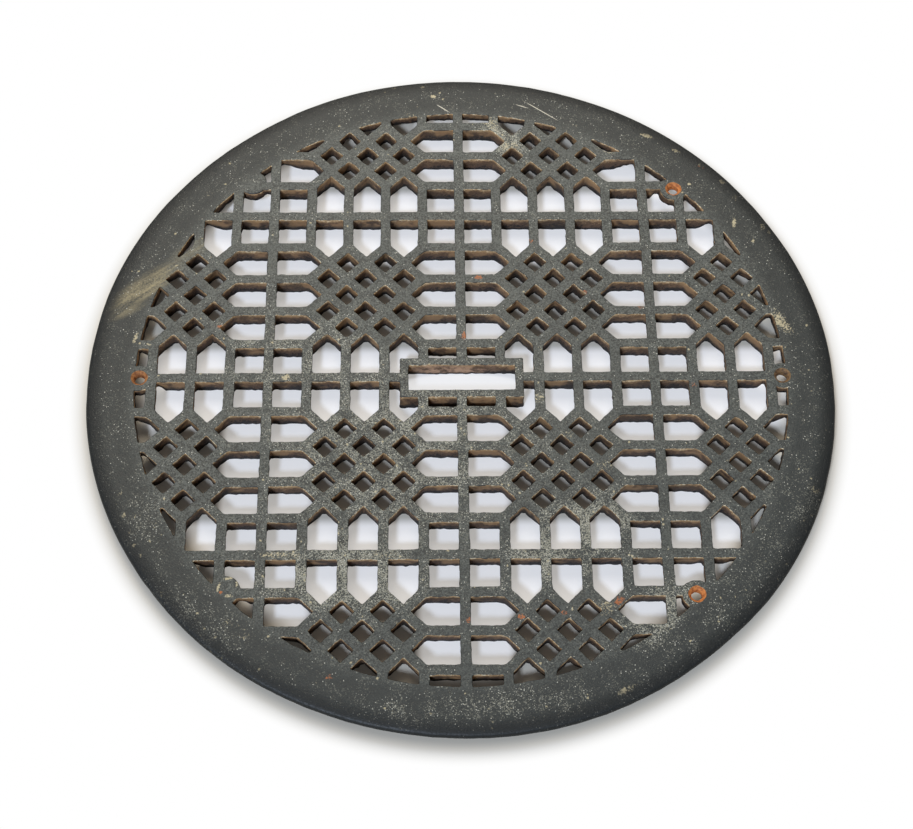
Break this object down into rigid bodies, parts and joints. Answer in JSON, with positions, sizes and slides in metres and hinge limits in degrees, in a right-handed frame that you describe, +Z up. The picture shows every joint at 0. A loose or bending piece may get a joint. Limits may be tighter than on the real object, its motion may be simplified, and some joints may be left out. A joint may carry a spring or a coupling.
{
  "type": "cast iron vent grille",
  "caption": "Round one-piece cast iron vent grille: rolled rim, pierced lattice of squares, arrows and diamonds, central lever slot and countersunk screw holes.",
  "frame": {"origin": "under the middle of the lattice, on the underside of its bars", "axes": "+Z up out of the face, +X along the long side of the central slot"},
  "size_m": [0.406, 0.406, 0.012],
  "materials": {
    "cast_iron": "worn black paint on sand-cast iron, rusty walls in the openings"
  },
  "bodies": {
    "root": {"grille": "cast_iron"}
  },
  "joints": []
}
